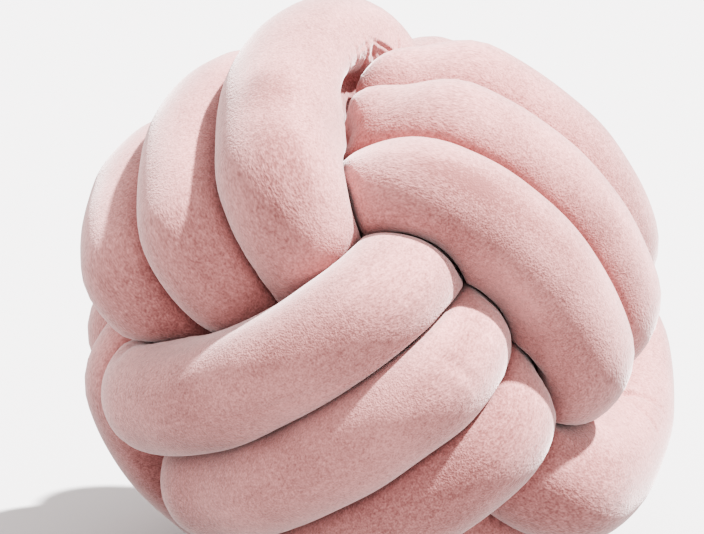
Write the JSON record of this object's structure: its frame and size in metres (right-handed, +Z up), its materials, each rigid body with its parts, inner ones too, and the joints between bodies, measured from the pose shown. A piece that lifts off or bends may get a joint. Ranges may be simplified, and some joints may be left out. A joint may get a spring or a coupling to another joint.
{
  "type": "knot pillow",
  "caption": "Round knot pillow: one long stuffed velvet tube tied over and under itself into a ball, pressed flat where it rests.",
  "frame": {"origin": "on the surface that the pillow rests on, under the middle of its bounding box", "axes": "+Z up from the flat base, -Y towards the side that the picture shows, +X to that side's right"},
  "size_m": [0.2922, 0.2956, 0.2887],
  "materials": {
    "velvet": "blush pink short-pile velvet, matt with a soft sheen at grazing angles"
  },
  "bodies": {
    "root": {"knot_tube": "velvet"}
  },
  "joints": []
}
